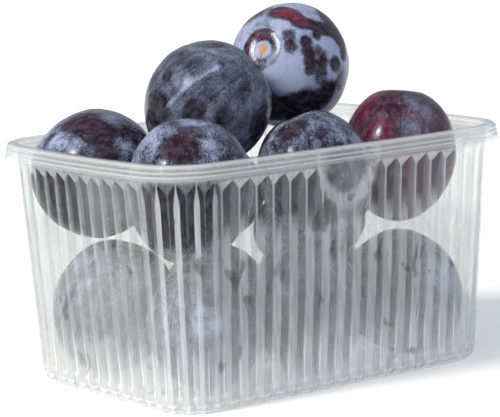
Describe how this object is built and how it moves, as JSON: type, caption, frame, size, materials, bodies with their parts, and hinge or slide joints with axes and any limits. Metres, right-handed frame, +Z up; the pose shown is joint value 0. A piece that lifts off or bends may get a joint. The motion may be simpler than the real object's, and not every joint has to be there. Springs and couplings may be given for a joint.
{
  "type": "punnet of plums",
  "caption": "Clear ribbed plastic tray with a down-turned rim, open at the top and heaped with loose dark plums.",
  "frame": {"origin": "centre of the tray's flat underside", "axes": "+Z up, +X along the tray's long side, +Y across it; the lowest corner seen in the picture is the one towards -X and -Y"},
  "size_m": [0.1904, 0.1404, 0.1555],
  "materials": {
    "clear_plastic": "clear thermoformed sheet, slightly milky",
    "plum_skin": "dark waxy skin under a patchy pale blue bloom"
  },
  "bodies": {
    "root": {"tray": "clear_plastic", "plum_lower_left_back": "plum_skin", "plum_lower_left_front": "plum_skin", "plum_lower_middle_front": "plum_skin", "plum_lower_right_front": "plum_skin", "plum_lower_middle_back": "plum_skin", "plum_lower_right_back": "plum_skin", "plum_middle": "plum_skin", "plum_upper_left_back": "plum_skin", "plum_upper_left_front": "plum_skin", "plum_upper_middle_front": "plum_skin", "plum_upper_right_front": "plum_skin", "plum_upper_middle_back": "plum_skin", "plum_upper_right_back": "plum_skin", "plum_heap_left": "plum_skin", "plum_heap_right": "plum_skin"}
  },
  "joints": []
}
